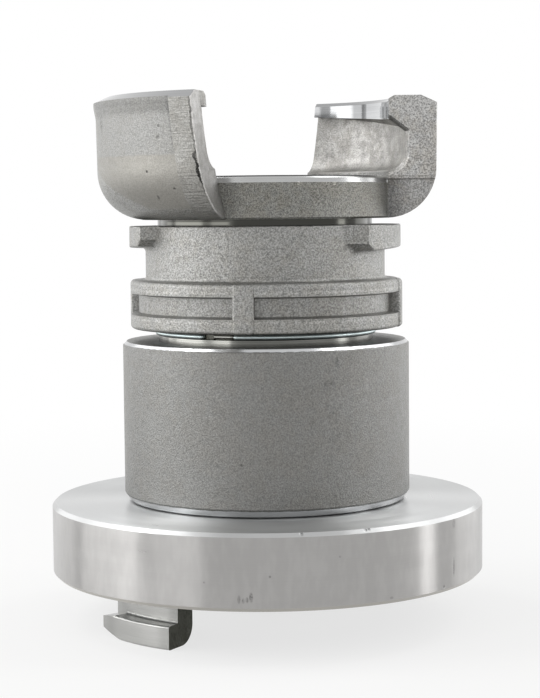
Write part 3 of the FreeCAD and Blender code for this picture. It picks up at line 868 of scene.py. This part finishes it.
@dataclass(frozen=True)
class DiscTurned(Finish):
    """Lug disc turned all over, with handling marks on its rim and lug ends darkened by painted shade."""

    name: str = "disc_aluminium"
    side: Turned = Turned(tone=(0.38, 0.373, 0.366), roughness=0.3, pitch=0.2, streak=0.12)
    flat: Turned = Turned(tone=(0.529, 0.536, 0.536), roughness=0.3, pitch=0.25, streak=0.16)
    # Sawn lug end faces: the grain is their own, the near-black tone is painted shade.
    shaded_lug_end: Blasted = Blasted(
        tone=(0.068, 0.07, 0.056), tarnish=(0.048, 0.048, 0.036), contrast=0.6, grain_mm=0.5
    )
    bevel: Turned = Turned(tone=(0.434, 0.42, 0.389), roughness=0.3, streak=0.3)
    lug: Turned = Turned(
        tone=(0.375, 0.375, 0.363), roughness=0.22, pitch=0.4, mark_depth=0.01, streak=0.25
    )
    face_z: float = 11.0
    bevel_rise: Span = (0.9, 0.7)
    bevel_r: Span = (48.0, 48.2)
    anisotropic: float = 1.0
    outside_r: float = 48.0
    marks: tuple[Mark, ...] = (
        Mark(-122.5, 13.7, 0.45, 0.5, 0.05, 2.4),
        Mark(-121.5, 13.4, 0.4, 0.45, 0.0, 1.8),
        Mark(-120.6, 13.6, 0.4, 0.45, 0.0, 1.8),
        Mark(-119.6, 14.1, 0.5, 0.55, 0.05, 2.6),
        Mark(-61.2, 16.0, 0.55, 0.45, 0.03, 4.5),
        Mark(-61.0, 25.4, 0.9, 0.25, 0.0, 1.4),
        Mark(-65.7, 12.4, 0.5, 0.5, 0.05),
        Mark(-107.3, 27.1, 0.5, 0.6, 0.1),
        Mark(-91.0, 27.1, 0.5, 0.6, 0.1),
        Mark(-90.0, 27.1, 0.4, 0.6, 0.1),
        Mark(-115.1, 18.4, 0.35, 0.4),
        Mark(-131.0, 17.0, 0.3, 0.45),
        Mark(-98.0, 22.0, 0.3, 0.3),
        Mark(-84.0, 12.3, 0.6, 0.3, 0.0, 0.6),
    )

    def skin(self, place: Place) -> Skin:
        """The finish at a place.

        Args:
            place: the shaded point.

        Returns:
            Its colour, roughness and relief.
        """
        tree = place.tree
        upright = abs(tree.normal()[2])
        stains = tree.noise(place.vector(place.turn() * 0.35, place.z * 0.12, 0.0), 1.0, 2.0, 0.6)
        side = self.side.skin(place).shaded(0.97 + stains.rise(0.4, 0.65) * 0.06)
        skin = side.under(self.flat.skin(place), upright.rise(0.4, 0.8))
        start, stop = (self.face_z + rise for rise in self.bevel_rise)
        bevel = place.z.rise(start, stop) * place.radius().rise(*self.bevel_r)
        skin = skin.under(self.bevel.skin(place), bevel)
        on_lug = place.z.rise(self.face_z - 0.1, self.face_z - 0.2)
        skin = skin.under(self.lug.skin(place), on_lug)
        # The lug ends get the near-black finish, which is painted shade.
        lug_end = on_lug * abs(place.outward()).rise(0.5, 0.4) * upright.rise(0.5, 0.4)
        skin = skin.under(self.shaded_lug_end.skin(place), lug_end)
        return marked(skin, place, self.marks, self.outside_r)


@dataclass(frozen=True)
class Zinc(Finish):
    """Blue zinc plate on round wire."""

    name: str = "zinc_plate"
    tone: Colour = (0.465, 0.57, 0.585)
    pale: Colour = (0.645, 0.698, 0.698)
    roughness: float = 0.34

    def skin(self, place: Place) -> Skin:
        """The finish at a place.

        Args:
            place: the shaded point.

        Returns:
            Its colour, roughness and relief.
        """
        tree = place.tree
        cloud = tree.noise(place.vector(place.turn() * 0.12, place.z * 1.5, place.radius()), 1.0, 2.0)
        fine = tree.noise(place.point(), 2.0, 2.0)
        colour = tree.mix(cloud, self.tone, self.pale)
        return Skin(tree, colour, self.roughness + (fine - 0.5) * 0.1, fine * 0.01)


@dataclass(frozen=True)
class Rubber(Finish):
    """Black moulded rubber with a little dust."""

    name: str = "seal_rubber"
    metallic: float = 0.0
    tone: Colour = (0.018, 0.018, 0.019)
    dust: Colour = (0.09, 0.088, 0.083)
    roughness: float = 0.55

    def skin(self, place: Place) -> Skin:
        """The finish at a place.

        Args:
            place: the shaded point.

        Returns:
            Its colour, roughness and relief.
        """
        tree = place.tree
        fine = tree.noise(place.point(), 2.5, 3.0)
        cloud = tree.noise(place.point(), 0.25, 3.0, 0.6).rise(0.45, 0.7)
        colour = tree.mix(cloud * 0.4, self.tone, self.dust)
        return Skin(tree, colour, self.roughness + (fine - 0.5) * 0.2, fine * 0.02)


@dataclass(frozen=True)
class Fibre(Finish):
    """Pressed fibre gasket."""

    name: str = "gasket_fibre"
    metallic: float = 0.0
    tone: Colour = (0.30, 0.10, 0.06)
    pale: Colour = (0.42, 0.19, 0.12)
    roughness: float = 0.8

    def skin(self, place: Place) -> Skin:
        """The finish at a place.

        Args:
            place: the shaded point.

        Returns:
            Its colour, roughness and relief.
        """
        tree = place.tree
        strands = tree.noise(place.vector(place.x * 0.6, place.y * 2.4, place.z * 2.0), 1.2, 3.0, 0.65)
        colour = tree.mix(strands, self.tone, self.pale)
        return Skin(tree, colour, self.roughness + (strands - 0.5) * 0.1, strands * 0.04)


def dress(node: str, finish: Finish) -> None:
    """Gives a CAD node its finish.

    Args:
        node: the CAD node's name.
        finish: what it is made of.
    """
    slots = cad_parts[node].data.materials
    slots.clear()
    slots.append(finish.make())
    log.info("%s: %s", node, finish.name)


@dataclass
class RetainingWire:
    """Zinc-plated wire in its groove, swept along an arc in Geometry Nodes.

    Its thickness, height and arc come from the CAD node that it stands for.
    """

    node: str = "retaining_ring"
    finish: Finish = Zinc()
    start: float = -131.8
    sweep: float = 343.1
    end_round_mm: float = 0.5
    end_inset: float = 0.45
    arc_points: int = 400
    round_points: int = 28

    def _sizes(self) -> dict[str, float | int]:
        """What the tree is given.

        Returns:
            Its inputs by name.
        """
        low, high = (Vector(corner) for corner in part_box(self.node))
        thickness = high.z - low.z
        return {
            "Arc radius": (high.x - low.x - thickness) / 2,
            "Height": (high.z + low.z) / 2,
            "Wire radius": thickness / 2,
            "Start": math.radians(self.start),
            "Sweep": math.radians(self.sweep),
            "End round": self.end_round_mm * MM,
            "End inset": self.end_inset,
            "Arc points": self.arc_points,
            "Round points": self.round_points,
        }

    def _tree(self, made: bpy.types.Material) -> bpy.types.GeometryNodeTree:
        """The node tree, with one named input for each size.

        Args:
            made: the material that it sets.

        Returns:
            The tree.
        """
        group = bpy.data.node_groups.new("swept_wire", "GeometryNodeTree")
        tree = Tree(group)
        for name, value in self._sizes().items():
            kind = "NodeSocketInt" if isinstance(value, int) else "NodeSocketFloat"
            group.interface.new_socket(name, in_out="INPUT", socket_type=kind)
        group.interface.new_socket("Geometry", in_out="OUTPUT", socket_type="NodeSocketGeometry")
        given = tree.node("NodeGroupInput").outputs
        arc_values = {"Resolution": given["Arc points"], "Start Angle": given["Start"]}
        arc_values |= {4: given["Arc radius"], "Sweep Angle": given["Sweep"]}
        arc = tree.node("GeometryNodeCurveArc", {"mode": "RADIUS"}, arc_values)
        lift = tree.node("ShaderNodeCombineXYZ", None, {2: given["Height"]})
        raised = tree.node("GeometryNodeSetPosition", None, {0: arc.outputs[0], "Offset": lift.outputs[0]})
        length = Level(tree, tree.node("GeometryNodeSplineLength").outputs["Length"])
        along = Level(tree, tree.node("GeometryNodeSplineParameter").outputs["Length"])
        to_end = along.at_most(length - along) / Level(tree, given["End round"])
        near_end = (1.0 - to_end).at_least(0.0)
        thinner = 1.0 - near_end * near_end * Level(tree, given["End inset"])
        circle_values = {0: given["Round points"], "Radius": given["Wire radius"]}
        circle = tree.node("GeometryNodeCurvePrimitiveCircle", {"mode": "RADIUS"}, circle_values)
        swept_values = {0: raised.outputs[0], 1: circle.outputs[0], "Scale": thinner, "Fill Caps": True}
        swept = tree.node("GeometryNodeCurveToMesh", None, swept_values)
        smooth = tree.node("GeometryNodeSetShadeSmooth", None, {0: swept.outputs[0]})
        real = tree.node("GeometryNodeRealizeInstances", None, {0: smooth.outputs[0]})
        coated = tree.node("GeometryNodeSetMaterial", None, {0: real.outputs[0], "Material": made})
        tree.node("NodeGroupOutput", None, {0: coated.outputs[0]})
        return group

    def build(self) -> bpy.types.Object:
        """Makes the wire as a plain mesh in place of the CAD node.

        Returns:
            The wire's object.
        """
        material = self.finish.make()
        wire = bpy.data.objects.new("wire", bpy.data.meshes.new("wire_start"))
        bpy.context.scene.collection.objects.link(wire)
        sweep = wire.modifiers.new("sweep", "NODES")
        sweep.node_group = self._tree(material)
        sizes = self._sizes()
        for item in sweep.node_group.interface.items_tree:
            if item.in_out == "INPUT":
                sweep[item.identifier] = sizes[item.name]
        evaluated = wire.evaluated_get(bpy.context.evaluated_depsgraph_get())
        plain = bpy.data.meshes.new_from_object(evaluated)
        wire.modifiers.remove(sweep)
        wire.data = plain
        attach(wire, "adapter")
        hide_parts(self.node)
        log.info("%s: %d faces", wire.name, len(plain.polygons))
        return wire


@dataclass
class ClawHalf:
    """Head with the claw horns, its seal and the wire that holds the ring on."""

    head: Finish = ClawCasting()
    seal: Finish = Rubber()
    wire: RetainingWire = field(default_factory=RetainingWire)

    def build(self) -> None:
        """Dresses the head and seal, and makes the wire."""
        dress("claw_head", self.head)
        dress("claw_seal", self.seal)
        self.wire.build()


@dataclass
class LockingRing:
    """Ribbed ring that turns on the neck."""

    finish: Finish = RingCasting()

    def build(self) -> None:
        """Dresses the ring."""
        dress("locking_ring", self.finish)


@dataclass
class ThreadedSleeve:
    """Sleeve between the halves, with a gasket in each socket."""

    finish: Finish = SleeveSatin()
    gasket: Finish = Fibre()

    def build(self) -> None:
        """Dresses the sleeve and both gaskets."""
        dress("sleeve", self.finish)
        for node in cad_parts:
            if "gasket" in node:
                dress(node, self.gasket)


@dataclass
class LugHalf:
    """Disc with the two lugs, and its seal."""

    disc: Finish = DiscTurned()
    seal: Finish = Rubber()

    def build(self) -> None:
        """Dresses the disc and its seal."""
        dress("lug_disc", self.disc)
        dress("lug_seal", self.seal)


@dataclass(frozen=True)
class SoftBox:
    """One lamp: where it hangs, its width and height, its power and the height it faces."""

    name: str
    bearing: float
    distance: float
    height: float
    size: tuple[float, float]
    power: float
    aim: float = 0.06

    def hang(self) -> None:
        """Hangs the lamp so that it faces the axis at the height of its aim."""
        data = bpy.data.lights.new(self.name, "AREA")
        data.shape = "RECTANGLE"
        data.size, data.size_y = self.size
        data.energy = self.power
        made = bpy.data.objects.new(self.name, data)
        bpy.context.scene.collection.objects.link(made)
        spot = around(self.bearing, self.distance, self.height)
        turn = (Vector((0, 0, self.aim)) - spot).to_track_quat("-Z", "Y").to_matrix().to_4x4()
        made.matrix_world = Matrix.Translation(spot) @ turn
        made.visible_camera = False


def standing_panel(name: str, bearing: float, width: float, power: float) -> SoftBox:
    """An upright lamp panel that stands on the floor beside the object.

    Args:
        name: the lamp's name.
        bearing: degrees to the right of the camera.
        width: in metres.
        power: in watts.

    Returns:
        The lamp, which shines level.
    """
    middle = PANEL_TALL / 2
    return SoftBox(name, bearing, PANEL_DISTANCE, middle, (width, PANEL_TALL), power, middle)


@dataclass
class Studio:
    """Camera, floor, lamps and the white that the camera and the metal see."""

    floor_size: float = 3.0
    floor_tone: Colour = (0.78, 0.78, 0.77)
    floor_white: float = 0.72
    white_mm: Span = (40.0, 420.0)
    plain_light: float = 0.5
    lamps: tuple[SoftBox, ...] = (
        SoftBox("left_box", -75.0, 1.1, 0.55, (0.5, 0.7), 1.6),
        SoftBox("top_left_box", -111.0, 0.6, 1.04, (0.35, 0.35), 1.7),
        SoftBox("top_right_box", 110.0, 0.6, 1.04, (0.3, 0.35), 1.1),
        standing_panel("left_panel", -88.0, 0.328, 1.32),
        standing_panel("near_left_panel", -45.0, 0.191, 0.44),
        standing_panel("far_left_panel", -130.0, 0.241, 0.455),
        standing_panel("right_strip", 87.0, 0.079, 0.64),
        standing_panel("far_right_panel", 125.0, 0.241, 0.659),
    )

    def camera(self) -> None:
        """Stands the camera where the photograph was taken."""
        data = bpy.data.cameras.new("photo_camera")
        data.sensor_fit = "VERTICAL"
        data.sensor_height = SENSOR_MM
        data.lens = FOCAL_PX / PHOTO_HEIGHT * SENSOR_MM
        data.shift_x = AXIS_LEFT_OF_MIDDLE_PX / PHOTO_HEIGHT
        data.clip_start = 0.01
        seat = bpy.data.objects.new("photo_camera", data)
        bpy.context.scene.collection.objects.link(seat)
        back = around(0.0, math.cos(CAMERA_PITCH), math.sin(CAMERA_PITCH))
        right = Vector((0, 0, 1)).cross(back).normalized()
        up = back.cross(right)
        turn = Matrix((right, up, back)).transposed().to_4x4()
        place = Matrix.Translation(around(0.0, CAMERA_DISTANCE, CAMERA_HEIGHT))
        seat.matrix_world = place @ turn @ Matrix.Rotation(-CAMERA_ROLL, 4, "Z")
        bpy.context.scene.camera = seat

    def floor(self) -> None:
        """Lays the pale floor."""
        half = self.floor_size / 2
        mesh = bpy.data.meshes.new("floor")
        corners = [(-half, -half, 0), (half, -half, 0), (half, half, 0), (-half, half, 0)]
        mesh.from_pydata(corners, [], [(0, 1, 2, 3)])
        made = bpy.data.objects.new("floor", mesh)
        bpy.context.scene.collection.objects.link(made)
        mesh.materials.append(self._floor_material())

    def _floor_material(self) -> bpy.types.Material:
        """Pale matt floor that fades to white far off, for the camera and in what metal mirrors.

        Returns:
            The material.
        """
        made = bpy.data.materials.new("floor")
        made.use_nodes = True
        tree = Tree(made.node_tree)
        matt = tree.node("ShaderNodeBsdfDiffuse", None, {"Color": (*self.floor_tone, 1.0)})
        white = tree.node("ShaderNodeEmission", None, {"Strength": 1.0})
        seen = tree.seen()
        far = tree.place().radius().rise(*self.white_mm)
        factor = seen * (self.floor_white + far * (1.0 - self.floor_white))
        layers = {0: factor, 1: matt.outputs[0], 2: white.outputs[0]}
        blend = tree.node("ShaderNodeMixShader", None, layers)
        tree.node("ShaderNodeOutputMaterial", None, {"Surface": blend.outputs[0]})
        return made

    def surroundings(self) -> None:
        """White for the camera and in what metal mirrors, and a plain light on all else."""
        world = bpy.data.worlds.new("studio")
        bpy.context.scene.world = world
        world.use_nodes = True
        tree = Tree(world.node_tree)
        seen = tree.seen()
        strength = seen + (1.0 - seen) * self.plain_light
        values = {"Color": (1.0, 1.0, 1.0, 1.0), "Strength": strength}
        lit = tree.node("ShaderNodeBackground", None, values)
        tree.node("ShaderNodeOutputWorld", None, {"Surface": lit.outputs[0]})

    def build(self) -> None:
        """Sets up the whole studio."""
        self.camera()
        self.floor()
        self.surroundings()
        for lamp in self.lamps:
            lamp.hang()
        bpy.context.scene.view_settings.view_transform = "Standard"


def main() -> None:
    """Builds the scene."""
    logging.basicConfig(level=logging.INFO, format="%(message)s")
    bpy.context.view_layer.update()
    for part in (ClawHalf(), LockingRing(), ThreadedSleeve(), LugHalf(), Studio()):
        part.build()


if __name__ == "__main__":
    main()
